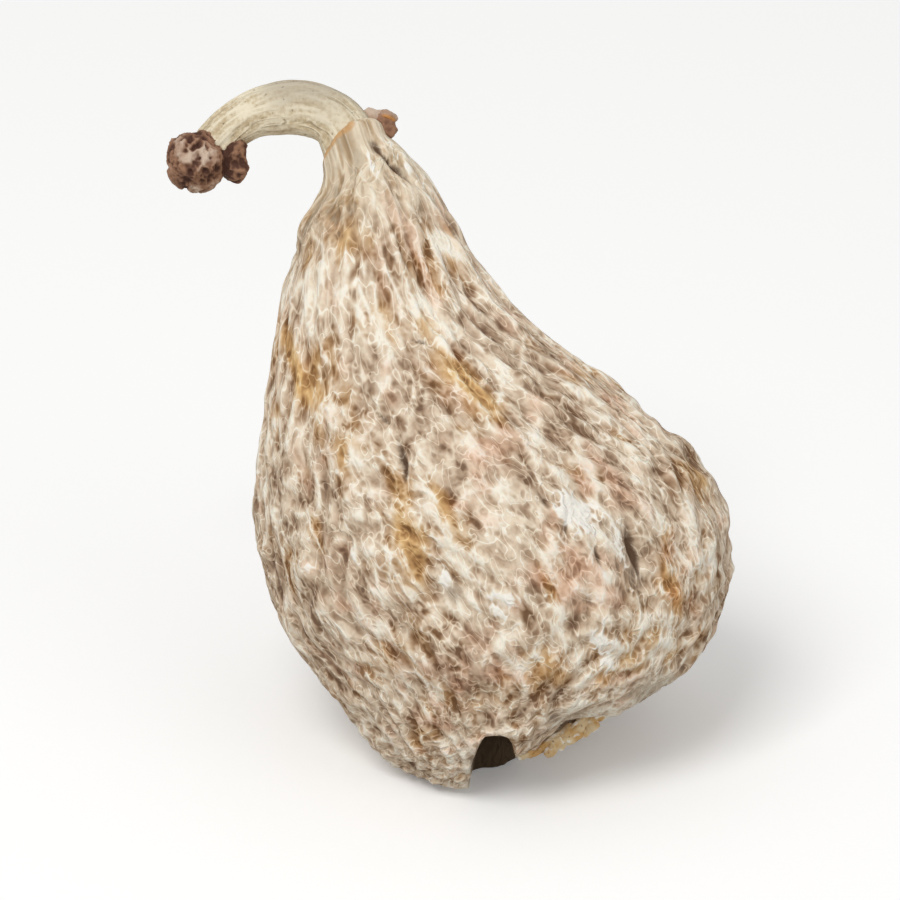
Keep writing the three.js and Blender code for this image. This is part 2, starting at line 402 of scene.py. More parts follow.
@dataclass(frozen=True)
class FigForm:
    """The lopsided pear shape of the fruit in the growing frame, before its fine wrinkles.

    The outline is half the fig's, as shares of the belly's radius and the body's length. A facet has
    its height, its count round the fruit, its phase, and the phase's drift along the body.
    """

    body_length: float = 39.4
    belly_radius: float = 14.2
    flatness: float = 0.9
    outline: Outline = (
        (0.0, 0.046), (0.09, 0.035), (0.135, 0.004), (0.22, -0.01), (0.38, 0.002), (0.57, 0.027),
        (0.76, 0.08), (0.92, 0.18), (1.0, 0.315), (0.95, 0.422), (0.83, 0.536), (0.68, 0.633),
        (0.555, 0.72), (0.47, 0.793), (0.395, 0.865), (0.305, 0.93), (0.25, 0.963), (0.188, 0.992),
        (0.158, 1.012), (0.152, 1.03), (0.11, 1.038), (0.0, 1.038),
    )
    facets: tuple[tuple[float, int, float, float], ...] = (
        (0.02, 2, 0.6, 1.2), (0.018, 3, -1.1, 0.9), (0.012, 5, 2.2, -1.2),
    )
    rib_count: int = 15
    rib_height: float = 0.3
    rib_level: float = 0.6
    sway: float = 1.5
    sway_turns: float = 0.9
    sway_crossing: float = 0.42
    sway_offset: float = -0.35
    sway_fade: int = 12
    eye_shift: tuple[float, float] = (-2.5, -1.9)
    eye_reach: float = 0.05
    sleeve_shift: float = 0.55
    sleeve_peak: float = 1.2
    sleeve_end: float = 1.03
    sleeve_turn: float = 0.25
    neck_slant: float = 0.36
    neck_slant_from: float = 0.84
    sleeve_level: float = 0.6
    hollows: tuple[Hollow, ...] = (
        Hollow((-3.1, -12.3, 11.8), 2.6, (0.0, 0.7, 0.0)),
        Hollow((2.6, -0.5, 0.0), 5.4, (0.0, 0.0, 1.2)),
        Hollow((-3.1, -4.6, -0.1), 1.3, (0.0, 0.6, 1.5)),
        Hollow((3.0, 11.5, 17.0), 5.5, (-0.2, -1.1, 0.0)),
        Hollow((-7.0, 3.5, 27.0), 4.0, (0.7, -0.3, 0.0)),
        Hollow((-3.6, -0.5, 37.3), 2.2, (-1.0, 0.0, 0.0)),
        Hollow((1.0, -7.0, 0.2), 2.8, (0.0, 0.3, 1.15)),
    )

    def half_outline(self, shares: Array) -> tuple[Array, Array]:
        """The half outline, from the eye to the neck.

        Args:
            shares: Shares of its length.

        Returns:
            The radius and the height at each share.
        """
        scale = np.array([self.belly_radius, self.body_length])
        radius, height = even_spline(np.array(self.outline) * scale, shares).T
        return np.maximum(radius, 1e-3), height

    def outline_length(self) -> float:
        """Length of the half outline over the skin."""
        radius, height = self.half_outline(np.linspace(0, 1, CURVE_STEPS))
        return float(np.hypot(np.diff(radius), np.diff(height)).sum())

    def skin(self, turn: Array, shares: Array) -> Array:
        """The skin at an angle round the fruit and a share of the outline's length.

        The revolved outline is scaled by the facets, which are cosines round the fruit, raised by the
        long ribs, flattened front to back, shifted sideways by a sine of the height, slanted at the
        neck, and pushed in at each hollow by a bell of the distance. The last of the neck rises on one
        side by a sine of the angle, as a sleeve up the stalk.

        Args:
            turn: Angles, as one row.
            shares: Shares of the outline's length, as one column.

        Returns:
            Points in the growing frame by row, column and axis.
        """
        flat, height = (part[:, None] for part in self.half_outline(shares[:, 0]))
        share = height / self.body_length
        facet = 1 + sum(h * np.cos(n * turn + p + d * share) for h, n, p, d in self.facets)
        radius = flat * facet + self.rib(turn, share) * np.minimum(1, flat / 4)
        clipped = np.clip(share, 0, 1)
        eye = np.exp(-clipped / self.eye_reach)
        swing = self.sway * np.sin(TURN * self.sway_turns * (self.sway_crossing - clipped))
        sleeve = smoothstep(share, 1, self.sleeve_end)
        slant = self.neck_slant * smoothstep(share, self.neck_slant_from, 1)
        slant = slant * (1 - self.sleeve_level * sleeve)
        peak = self.sleeve_peak * sleeve * np.maximum(0, -np.sin(turn - self.sleeve_turn))
        middle = swing * (1 - clipped**self.sway_fade) + self.sway_offset + self.eye_shift[0] * eye
        x = radius * np.cos(turn) + middle + self.sleeve_shift * smoothstep(share, 0.95, 1.0)
        y = radius * np.sin(turn) * self.flatness + self.eye_shift[1] * eye
        points = grid_of(x, y, height + slant * radius * np.cos(turn) + peak)
        for hollow in self.hollows:
            distance = np.linalg.norm(points - np.array(hollow.at), axis=-1, keepdims=True)
            points = points + bump(distance, 0, hollow.width) * np.array(hollow.push)
        return points

    def rib(self, turn: Array, share: Array) -> Array:
        """Height of the long ribs: a level less the size of a sine that wanders round the fruit, faded
        towards both ends by a sine of the share of the height.

        Args:
            turn: Angles, as one row.
            share: Shares of the body's length, as one column.

        Returns:
            Heights by row and column.
        """
        wander = 0.9 * np.sin(2 * turn + 1.3) + 0.6 * np.sin(4 * share + turn)
        inner = np.minimum(1, 1.6 * np.sin(math.pi * np.clip(0.96 * share + 0.04, 0, 1)))
        wave = np.abs(np.sin((self.rib_count * turn + wander) / 2))
        return self.rib_height * inner * (self.rib_level - wave)


# ---- Wrinkles ----


class BandSolver:
    """Solves many systems of equations whose matrices have two bands on either side of the diagonal.

    Each row is cleared of the two unknowns before it with multiples of the two rows above, once; a
    right-hand side is then swept down with the same multiples, and up through what is left. Two rows
    more at each end stand for the unknowns that aren't there, which are nought.
    """

    ENDS = ((2, 2), (0, 0))

    def __init__(self, *bands: Array) -> None:
        """Clears the matrices.

        Args:
            bands: Factors of the unknowns two rows before to two rows after, by row and system; the
                middle one has a column for each system.
        """
        whole = [np.pad(band + 0 * bands[2], self.ENDS) for band in bands]
        lower2, lower1, self.middle, self.upper1, self.upper2 = whole
        self.middle[:2] = 1
        self.far = np.zeros_like(self.middle)
        self.near = np.zeros_like(self.middle)
        for row in range(2, len(self.middle) - 2):
            self.far[row] = lower2[row] / self.middle[row - 2]
            self.middle[row] -= self.far[row] * self.upper2[row - 2]
            self.near[row] = (lower1[row] - self.far[row] * self.upper1[row - 2]) / self.middle[row - 1]
            self.middle[row] -= self.near[row] * self.upper1[row - 1]
            self.upper1[row] -= self.near[row] * self.upper2[row - 1]

    def solve(self, right: Array) -> Array:
        """Sweeps a right-hand side down and up.

        Args:
            right: The right-hand side, by row and system.

        Returns:
            The unknowns, by row and system.
        """
        result = np.pad(right, self.ENDS)
        for row in range(2, len(result) - 2):
            result[row] -= self.near[row] * result[row - 1]
            result[row] -= self.far[row] * result[row - 2]
        for row in range(len(result) - 3, 1, -1):
            result[row] -= self.upper1[row] * result[row + 1]
            result[row] -= self.upper2[row] * result[row + 2]
            result[row] /= self.middle[row]
        return result[2:-2]


@dataclass(frozen=True)
class Puckering:
    """Wrinkles of one spacing, as they form in a skin that shrinks over a softer inside.

    The height u grows from random dust by the rule: change = drive u - (1 + q laplacian) squared u +
    bias u squared - u cubed, where q is the spacing over one turn, squared. It is stepped on the surface
    of revolution itself, one Fourier mode round the fruit at a time, so it has no seam and no pinch.

    Attributes:
        spacing: From one crest to the next, in millimetres.
        belly_stretch: How much longer than wide the wrinkles are on the belly.
        neck_stretch: The same on the neck.
        bias: Below 0 the crests join in a net round pits; above 0 they part into bumps.
        seed: Sets the random dust.
        drive: How strongly wrinkles of that spacing grow.
        steps: How many steps of time are taken.
        pace: Length of one step of time.
        dust: Spread of the random heights at the start.
    """

    spacing: float
    belly_stretch: float
    neck_stretch: float
    bias: float
    seed: int
    drive: float = 0.5
    steps: int = 150
    pace: float = 0.7
    dust: float = 0.3

    def solver(self, radius: Array, step: float, neck: Array, modes: int) -> BandSolver:
        """What takes one implicit step, for every mode round the fruit.

        The laplacian along the rows is the difference of radius times stretch squared times slope, over
        the radius, and round the fruit it is minus the mode squared over the radius squared. One plus q
        times it has one band on either side, and its square has two.

        Args:
            radius: Radius of each row.
            step: Distance from row to row.
            neck: Share of neck at each row.
            modes: How many modes there are.

        Returns:
            The solver.
        """
        stretch = self.belly_stretch + (self.neck_stretch - self.belly_stretch) * neck
        scale = (self.spacing / TURN) ** 2
        weight = radius * stretch**2
        edge = np.concatenate([[0], (weight[1:] + weight[:-1]) / 2, [0]]) * scale / step**2
        before = (edge[:-1] / radius)[:, None]
        after = (edge[1:] / radius)[:, None]
        own = 1 - before - after - scale * (np.arange(modes)[None, :] / radius[:, None]) ** 2
        return BandSolver(
            before * shifted(before, 1),
            before * (shifted(own, 1) + own),
            before * shifted(after, 1) + own**2 + after * shifted(before, -1) + 1 / self.pace - self.drive,
            after * (own + shifted(own, -1)),
            after * shifted(after, -1),
        )

    def grow(self, radius: Array, step: float, neck: Array, columns: int) -> Array:
        """Steps the wrinkles from random dust.

        Args:
            radius: Radius of each row in millimetres.
            step: Distance from row to row in millimetres.
            neck: Share of neck at each row, from 0 on the belly to 1.
            columns: How many columns go round.

        Returns:
            Heights by row and column, from about -1 to 1.
        """
        solver = self.solver(radius, step, neck, columns // 2 + 1)
        height = np.random.default_rng(self.seed).normal(0, self.dust, (len(radius), columns))
        for _ in range(self.steps):
            push = height / self.pace + self.bias * height**2 - height**3
            height = np.fft.irfft(solver.solve(np.fft.rfft(push, axis=1)), columns, axis=1)
        return height


# ---- Finishes ----


def linear(colour: Colour) -> tuple[float, float, float, float]:
    """A colour written in screen values from 0 to 255, in the linear values that a shader takes."""
    share = np.array(colour) / 255
    return (*np.where(share <= 0.04045, share / 12.92, ((share + 0.055) / 1.055) ** 2.4).tolist(), 1.0)


class Graph:
    """The node tree of one material, built from a few short calls."""

    def __init__(self, name: str) -> None:
        """Starts a material with only its surface shader and output.

        Args:
            name: Name of the material.
        """
        self.material = bpy.data.materials.new(name)
        self.material.use_nodes = True
        self.tree = self.material.node_tree
        self.tree.nodes.clear()
        self.shader = self.node("BsdfPrincipled")
        self.node("OutputMaterial", {"Surface": self.shader.outputs["BSDF"]})
        self.place = self.node("TexCoord").outputs["Object"]

    def put(self, socket: Socket, value: object) -> None:
        """Sets a socket to a value, or links it to another socket.

        Args:
            socket: What is set.
            value: A value, or the socket that gives it.
        """
        if isinstance(value, Socket):
            self.tree.links.new(value, socket)
        else:
            socket.default_value = value

    def node(
        self, kind: str, inputs: dict[str | int, object] | None = None, **settings: str
    ) -> bpy.types.Node:
        """A new node with its settings, and its inputs set to values or linked to sockets.

        Args:
            kind: What kind of shader node it is.
            inputs: Value or socket of each input, by its name or number.
            settings: Values of the node's own properties.

        Returns:
            The new node.
        """
        node = self.tree.nodes.new("ShaderNode" + kind)
        for name, value in settings.items():
            setattr(node, name, value)
        for key, value in (inputs or {}).items():
            self.put(node.inputs[key], value)
        return node

    def trait(self, name: str, output: str = "Fac") -> Socket:
        """A named value that the mesh carries for each of its points."""
        return self.node("Attribute", attribute_name=name).outputs[output]

    def noise(
        self, size: float, detail: float, place: Socket | None = None, seed: float = 0.0, sway: float = 0.0
    ) -> Socket:
        """Noise whose features have a size in millimetres.

        Args:
            size: Size of the largest features.
            detail: How many finer layers are added.
            place: Coordinates in metres; the object's own, if none are given.
            seed: Fourth coordinate, which sets the variation apart.
            sway: How strongly the features are bent.

        Returns:
            A value from about 0 to 1.
        """
        inputs = {"Vector": place or self.place, "W": seed, "Scale": 1 / (size * MM)}
        inputs |= {"Detail": detail, "Distortion": sway}
        return self.node("TexNoise", inputs, noise_dimensions="4D").outputs["Fac"]

    def troughs(
        self, size: float, place: Socket, seed: float, sway: float, width: float = 0.35
    ) -> Socket:
        """Hollows between thin crooked crests: 0 on the crests and 1 in the hollows.

        The crests lie where smooth noise crosses its middle value, so they wind and join at random.

        Args:
            size: Size of the noise's features in millimetres.
            place: Coordinates in metres.
            seed: Fourth coordinate, which sets the variation apart.
            sway: How strongly the crests are bent, in features.
            width: How far from the middle value the hollows begin.

        Returns:
            A value from 0 to 1.
        """
        centred = self.sum((self.noise(size, 0.0, place, seed, sway), 2.0), (1.0, -1.0))
        away = self.node("Math", {0: centred}, operation="ABSOLUTE")
        return self.step(away.outputs[0], 0.0, width)

    def drawn(self, place: Socket, share: float) -> Socket:
        """Coordinates with a share of their run along the fig, which draws out what is read there."""
        return self.node("VectorMath", {0: place, 1: (1, 1, share)}, operation="MULTIPLY").outputs["Vector"]

    def ramp(self, value: object, *stops: tuple[float, Colour]) -> Socket:
        """A colour that runs through stops.

        Args:
            value: What the colour follows.
            stops: Values and the colour at each.

        Returns:
            The colour.
        """
        node = self.node("ValToRGB", {"Fac": value})
        elements = node.color_ramp.elements
        while len(elements) < len(stops):
            elements.new(1.0)
        for element, (place, colour) in zip(elements, stops):
            element.position = place
            element.color = linear(colour)
        return node.outputs["Color"]

    def step(self, value: object, low: float, high: float) -> Socket:
        """Rises smoothly from 0 where the value is low to 1 where it is high."""
        inputs = {"Value": value, "From Min": low, "From Max": high}
        return self.node("MapRange", inputs, interpolation_type="SMOOTHSTEP").outputs["Result"]

    def sum(self, *terms: tuple[object, float]) -> Socket:
        """The sum of values, each times its factor.

        Args:
            terms: Values and their factors.

        Returns:
            The sum.
        """
        total: object = 0.0
        for value, factor in terms:
            total = self.node("Math", {0: value, 1: factor, 2: total}, operation="MULTIPLY_ADD").outputs[0]
        return total

    def times(self, first: object, second: object) -> Socket:
        """The product of two values."""
        return self.node("Math", {0: first, 1: second}, operation="MULTIPLY").outputs[0]

    def blend(self, share: object, first: object, second: object, kind: str = "MIX") -> Socket:
        """The first colour where the share is 0, and the second where it is 1.

        Args:
            share: How much of the second colour there is.
            first: A colour, or a socket that gives one.
            second: The same.
            kind: How the second colour is laid on the first.

        Returns:
            The blended colour.
        """
        colours = [linear(colour) if isinstance(colour, tuple) else colour for colour in (first, second)]
        inputs = dict(zip(MIX_INPUTS, (share, *colours)))
        return self.node("Mix", inputs, data_type="RGBA", blend_type=kind).outputs[MIX_RESULT]

    def relief(self, depth: float, height: Socket) -> None:
        """Roughens the surface by a height from 0 to 1, with a depth in millimetres."""
        node = self.node("Bump", {"Strength": 1.0, "Distance": depth * MM, "Height": height})
        self.put(self.shader.inputs["Normal"], node.outputs["Normal"])

    def finish(self, colour: object, roughness: float, specular: float) -> bpy.types.Material:
        """Sets the shader's main values.

        Args:
            colour: The base colour.
            roughness: How rough the surface is, from 0 to 1.
            specular: Its specular level.

        Returns:
            The material.
        """
        values = {"Base Color": colour, "Roughness": roughness, "Specular IOR Level": specular}
        for name, value in values.items():
            self.put(self.shader.inputs[name], value)
        return self.material


@dataclass(frozen=True)
class SkinFinish:
    """Wrinkled tan skin under a crust of pale sugar bloom, which clings to the crests."""

    roughness: float = 0.88
    specular: float = 0.2
    depth: float = 0.14
    umber: Colour = (124, 99, 79)
    tan: Colour = (168, 142, 117)
    fawn: Colour = (203, 180, 155)
    bloom: Colour = (231, 213, 189)
    sugar: Colour = (249, 241, 224)
    chalk: Colour = (250, 246, 236)
    ochre_stain: Colour = (243, 216, 170)
    rose_stain: Colour = (250, 229, 221)
    straw: Colour = (236, 224, 198)
    fibre: Colour = (196, 170, 134)
    seam: Colour = (206, 160, 108)
    # Painted shade: the dark colour laid in the creases, valleys, pits and eye.
    crease_shade: Colour = (96, 74, 56)
    # Painted shade inside the arch and the eye.
    hollow: Colour = (88, 72, 54)
    # Grey patches, and painted shade low on the fruit near the eye and on its underside.
    grey_and_shade: Colour = (178, 168, 152)
    glow: float = 0.06
    glow_scale: float = 0.6
    glow_radius: Triple = (1.0, 0.55, 0.3)

    def material(self) -> bpy.types.Material:
        """Runs from bare skin to sugar by the wrinkles that the mesh carries and by fine crests, then
        lays on the stains, the fibres near the stalk, grey patches and painted shade low on the fruit,
        chalk, the torn seam, and painted shade in the creases, the eye and the arch.

        Returns:
            The new material.
        """
        graph = Graph("fig_skin")
        straight = graph.trait("straight", "Vector")
        drawn = graph.drawn(straight, 0.4)
        wide = graph.troughs(1.3, graph.drawn(straight, 0.55), 1.0, 0.9)
        fine = graph.troughs(0.55, graph.drawn(straight, 0.75), 2.0, 0.8, 0.45)
        long = graph.troughs(1.7, drawn, 3.0, 0.3, 0.16)
        vein = graph.troughs(0.8, graph.drawn(straight, 0.7), 14.0, 1.1, 0.09)
        fibre = graph.troughs(0.42, graph.drawn(straight, 0.3), 13.0, 0.5, 0.5)
        grain = graph.noise(0.3, 1.0, seed=4.0)
        speck = graph.noise(1.4, 1.0, graph.drawn(straight, 0.55), 5.0, 1.2)
        drift = graph.noise(3.4, 2.0, graph.drawn(straight, 0.6), 6.0)
        pits = graph.noise(0.5, 1.0, graph.drawn(straight, 0.6), 7.0, 1.0)
        spots = graph.sum((pits, 2.0), (graph.noise(2.0, 0.0, seed=8.0), 1.0))
        level = graph.sum(
            (graph.trait("bloom"), 1.0), (graph.times(wide, fine), -0.2), (wide, -0.18), (fine, -0.14),
            (long, -0.24), (vein, -0.32), (graph.step(spots, 1.74, 2.14), -0.1), (grain, 0.3),
            (speck, 0.62), (drift, 0.7), (1.0, 0.22),
        )
        bare = ((0.05, self.umber), (0.28, self.tan), (0.5, self.fawn))
        colour = graph.ramp(level, *bare, (0.74, self.bloom), (1.0, self.sugar))
        warmth = graph.noise(1.5, 1.0, drawn, 9.0)
        warm_patch = graph.noise(4.5, 1.0, seed=10.0)
        warm = graph.sum((graph.trait("ochre"), 1.0), (warmth, 1.0), (warm_patch, 1.1), (level, -0.4))
        colour = graph.blend(graph.step(warm, 0.88, 1.35), colour, self.ochre_stain, "MULTIPLY")
        rosiness = graph.noise(1.6, 1.0, straight, 11.0)
        rosy_patch = graph.noise(5.0, 1.0, seed=12.0)
        blush = graph.sum((graph.trait("rose"), 1.0), (rosiness, 1.0), (rosy_patch, 0.7))
        colour = graph.blend(graph.step(blush, 0.86, 1.25), colour, self.rose_stain, "MULTIPLY")
        fibres = graph.blend(fibre, self.straw, self.fibre)
        colour = graph.blend(graph.times(graph.trait("stalkward"), 0.6), colour, fibres)
        # Greys the skin: grey patches, and painted shade low on the fruit.
        grey_and_shade = graph.step(graph.sum((graph.trait("grey_and_shade"), 1.0), (level, -0.3)), 0.0, 0.8)
        colour = graph.blend(graph.times(grey_and_shade, 0.5), colour, self.grey_and_shade)
        chalk = graph.sum((graph.trait("chalk"), 1.0), (level, 0.7), (fine, -0.25), (speck, 0.4))
        colour = graph.blend(graph.step(chalk, 0.95, 1.35), colour, self.chalk)
        torn = graph.sum((graph.trait("torn"), 1.0), (speck, 0.5), (fine, -0.2))
        colour = graph.blend(graph.times(graph.step(torn, 0.6, 1.0), 0.8), colour, self.seam)
        # Painted shade in the wrinkles' valleys and pits, along the marked creases and at the eye.
        dark = graph.sum((graph.trait("crease_shade"), 1.0), (level, -0.3), (grain, -0.2))
        colour = graph.blend(graph.step(dark, 0.05, 0.7), colour, self.crease_shade)
        # Painted shade inside the arch and at the eye.
        colour = graph.blend(graph.trait("hollow"), colour, self.hollow)
        rough = graph.sum((wide, -0.35), (fine, -0.4), (long, -0.2), (grain, 0.4), (speck, 0.3))
        graph.relief(self.depth, rough)
        shader = graph.shader.inputs
        shader["Subsurface Weight"].default_value = self.glow
        shader["Subsurface Radius"].default_value = self.glow_radius
        shader["Subsurface Scale"].default_value = self.glow_scale * MM
        return graph.finish(colour, self.roughness, self.specular)


@dataclass(frozen=True)
class StalkFinish:
    """Pale dry fibre, greyer over the bend, with dark dots and painted shade in its furrows."""

    roughness: float = 0.76
    specular: float = 0.25
    depth: float = 0.1
    straw: Colour = (210, 192, 158)
    pale: Colour = (238, 227, 201)
    umber: Colour = (158, 134, 104)
    grey: Colour = (182, 170, 150)
    # Painted shade in the furrow and between the ridges.
    groove_and_shade: Colour = (98, 76, 56)

    def material(self) -> bpy.types.Material:
        """Blends straw colours along the fibres, paints shade in the furrows, and darkens the flecks and
        dots.

        Returns:
            The new material.
        """
        graph = Graph("fig_stalk")
        straight = graph.trait("straight", "Vector")
        fibre = graph.troughs(0.5, straight, 1.0, 0.4)
        band = graph.noise(0.9, 2.0, straight, 2.0)
        grain = graph.noise(0.25, 2.0, seed=3.0)
        dots = graph.noise(0.4, 1.0, seed=4.0)
        blotch = graph.noise(1.6, 2.0, seed=5.0)
        level = graph.sum((fibre, -0.3), (band, 0.8), (grain, 1.0), (blotch, 1.0), (1.0, -0.32))
        colour = graph.blend(graph.step(level, 0.6, 1.15), self.straw, self.pale)
        colour = graph.blend(graph.times(graph.step(level, 0.85, 0.35), 0.5), colour, self.umber)
        # Greyer on the outer side of the bend.
        shade = graph.sum((graph.trait("grey_on_bend"), 1.0), (blotch, 0.7))
        colour = graph.blend(graph.times(graph.step(shade, 0.4, 1.2), 0.7), colour, self.grey)
        # Painted shade in the furrow and between the ridges, with the dark dots and fibre lines.
        dark = graph.sum((graph.trait("groove_and_shade"), 1.0), (graph.step(dots, 0.63, 0.74), 0.55), (fibre, 0.12))
        colour = graph.blend(graph.step(dark, 0.12, 0.85), colour, self.groove_and_shade)
        graph.relief(self.depth, graph.sum((fibre, -0.5), (grain, 0.5), (dots, -0.3), (blotch, 0.4)))
        return graph.finish(colour, self.roughness, self.specular)


@dataclass(frozen=True)
class BarkFinish:
    """Dark red-brown bark, rubbed pale on its high places."""

    roughness: float = 0.78
    specular: float = 0.3
    depth: float = 0.12
    # Dark bark, which also paints the shade in the knob's furrow between ball and collar.
    deep: Colour = (84, 54, 42)
    bark: Colour = (156, 116, 90)
    rubbed: Colour = (206, 184, 164)
    edge: Colour = (200, 142, 84)

    def material(self) -> bpy.types.Material:
        """Blends bark from its deep places to its rubbed ones, with an orange torn edge, and with painted
        shade in the knob's furrow.

        Returns:
            The new material.
        """
        graph = Graph("fig_bark")
        grain = graph.noise(0.3, 3.0, seed=1.0)
        blotch = graph.noise(0.8, 2.0, seed=2.0)
        height = graph.sum((graph.trait("high"), 1.0), (grain, 0.5), (blotch, 0.4))
        colour = graph.blend(graph.step(height, 0.3, 0.9), self.deep, self.bark)
        rub = graph.sum((graph.trait("rub"), 1.0), (height, 0.4), (blotch, 0.5), (grain, 0.3))
        colour = graph.blend(graph.step(rub, 0.75, 1.6), colour, self.rubbed)
        torn = graph.sum((graph.trait("torn"), 1.0), (grain, 0.4))
        colour = graph.blend(graph.step(torn, 0.5, 1.1), colour, self.edge)
        graph.relief(self.depth, graph.sum((grain, 0.7), (blotch, 0.5)))
        return graph.finish(colour, self.roughness, self.specular)


@dataclass(frozen=True)
class ScaleFinish:
    """Papery orange-tan scales with sugar on their edges."""

    roughness: float = 0.8
    specular: float = 0.3
    depth: float = 0.1
    amber: Colour = (208, 166, 106)
    tan: Colour = (230, 208, 168)
    brown: Colour = (120, 86, 52)
    sugar: Colour = (248, 243, 232)

    def material(self) -> bpy.types.Material:
        """Blends amber and tan in blotches with brown specks, and sugars the edge.

        Returns:
            The new material.
        """
        graph = Graph("fig_eye_scales")
        grain = graph.noise(0.2, 3.0, seed=1.0)
        blotch = graph.noise(1.1, 3.0, seed=2.0)
        colour = graph.blend(graph.step(blotch, 0.38, 0.62), self.amber, self.tan)
        colour = graph.blend(graph.step(grain, 0.58, 0.74), colour, self.brown)
        dust = graph.sum((graph.trait("edge"), 1.0), (grain, 0.5), (blotch, 0.3))
        colour = graph.blend(graph.step(dust, 0.75, 1.3), colour, self.sugar)
        graph.relief(self.depth, grain)
        return graph.finish(colour, self.roughness, self.specular)


# ---- The fruit ----


class Stain(Enum):
    """What a placed mark does to the skin."""

    OCHRE = "ochre"
    ROSE = "rose"
    CHALK = "chalk"
    ASH = "grey_and_shade"
    CREASE = "crease_shade"


@dataclass(frozen=True)
class Mark:
    """A mark on the front of the skin: its middle across and up the growing frame, its half width and
    half length, its sideways run for each step up, and its strength."""

    x: float
    z: float
    width: float
    length: float
    lean: float = 0.0
    strength: float = 1.0
    front_blend: float = 1.2

    def weight(self, points: Array) -> Array:
        """A bell across the mark times a bell along it, on the front side alone.

        Args:
            points: Places in the growing frame.

        Returns:
            How strong the mark is at each of them.
        """
        along = points[..., 2] - self.z
        across = points[..., 0] - self.x - self.lean * along
        front = smoothstep(-points[..., 1], 0, self.front_blend)
        return self.strength * bump(across, 0, self.width) * bump(along, 0, self.length) * front


MARKS = {
    Stain.OCHRE: (
        Mark(2.2, 24.0, 0.8, 2.6, -0.35, 0.9), Mark(-4.2, 17.2, 1.1, 2.9, 0.1),
        Mark(-1.8, 18.0, 0.6, 1.3, -0.2, 0.5), Mark(10.3, 7.6, 0.9, 2.4, 0.0, 0.7),
        Mark(-7.6, 28.3, 0.5, 3.0, 0.0, 0.8), Mark(13.6, 14.4, 1.4, 2.6, 0.0, 0.6),
        Mark(-9.8, 9.0, 2.4, 2.4, 0.0, 0.4), Mark(-9.6, 19.0, 0.5, 1.8, 0.0, 0.7),
        Mark(0.8, 4.6, 2.8, 1.5, 0.0, 0.8), Mark(-2.2, 36.8, 1.2, 3.2, 0.0, 0.4),
    ),
    Stain.ROSE: (
        Mark(2.6, 19.1, 2.4, 2.4, 0.0, 0.5), Mark(3.6, 10.2, 1.6, 2.4, 0.0, 0.5),
        Mark(-5.4, 6.6, 2.8, 2.6, 0.0, 0.7), Mark(5.0, 8.6, 1.2, 1.2, 0.0, 0.8),
        Mark(10.0, 15.0, 1.6, 3.0, 0.0, 0.4),
    ),
    Stain.CHALK: (
        Mark(6.1, 14.1, 1.3, 1.6, -0.5, 1.4), Mark(8.0, 10.2, 0.5, 2.6, 0.1, 0.7),
        Mark(-0.1, 10.1, 1.3, 0.9, 0.0, 0.8), Mark(-2.9, 12.8, 0.5, 1.1, 0.3, 0.9),
        Mark(-9.1, 15.8, 1.6, 1.2, 0.0, 0.6), Mark(4.9, 5.6, 0.8, 1.8, 0.0, 0.9),
        Mark(-2.0, 33.3, 0.8, 1.6, 0.0, 0.5), Mark(0.95, 38.8, 0.3, 1.4, -0.16, 0.6),
        Mark(3.1, 38.3, 0.3, 1.8, -0.42, 0.7),
    ),
    # Grey patches; the marks low on the fruit are painted shade near the eye and on its underside.
    Stain.ASH: (
        Mark(-2.8, 11.7, 0.8, 0.9), Mark(8.0, 11.0, 1.4, 3.4, 0.0, 0.7),
        Mark(-5.1, 0.9, 1.3, 1.3, 0.0, 0.7), Mark(1.4, 1.9, 2.4, 0.7, 0.4, 0.8),
        Mark(7.1, 1.8, 2.6, 1.2, 0.5, 1.0),
    ),
    # Creases pressed into the skin, which are also painted darker as shade.
    Stain.CREASE: (
        Mark(8.8, 10.4, 0.3, 2.4, 0.07, 1.2), Mark(6.6, 11.0, 0.25, 1.2, 0.1, 0.9),
        Mark(5.2, 13.4, 0.3, 0.9, 0.5, 0.9), Mark(4.4, 15.4, 0.35, 0.8, -0.3, 0.8),
        Mark(5.2, 8.6, 0.4, 0.9, 0.3, 0.7), Mark(-3.2, 20.8, 0.28, 1.6, 0.1, 1.1),
        Mark(-3.6, 23.6, 0.25, 0.7, -0.6, 0.9), Mark(0.3, 27.3, 0.3, 0.5, -1.2, 1.0),
        Mark(1.6, 40.2, 0.3, 0.6, -0.4, 0.8), Mark(2.3, 38.6, 0.22, 1.5, -0.6, 1.1),
        Mark(0.56, 37.8, 0.25, 0.7, -0.2, 0.6),
    ),
}


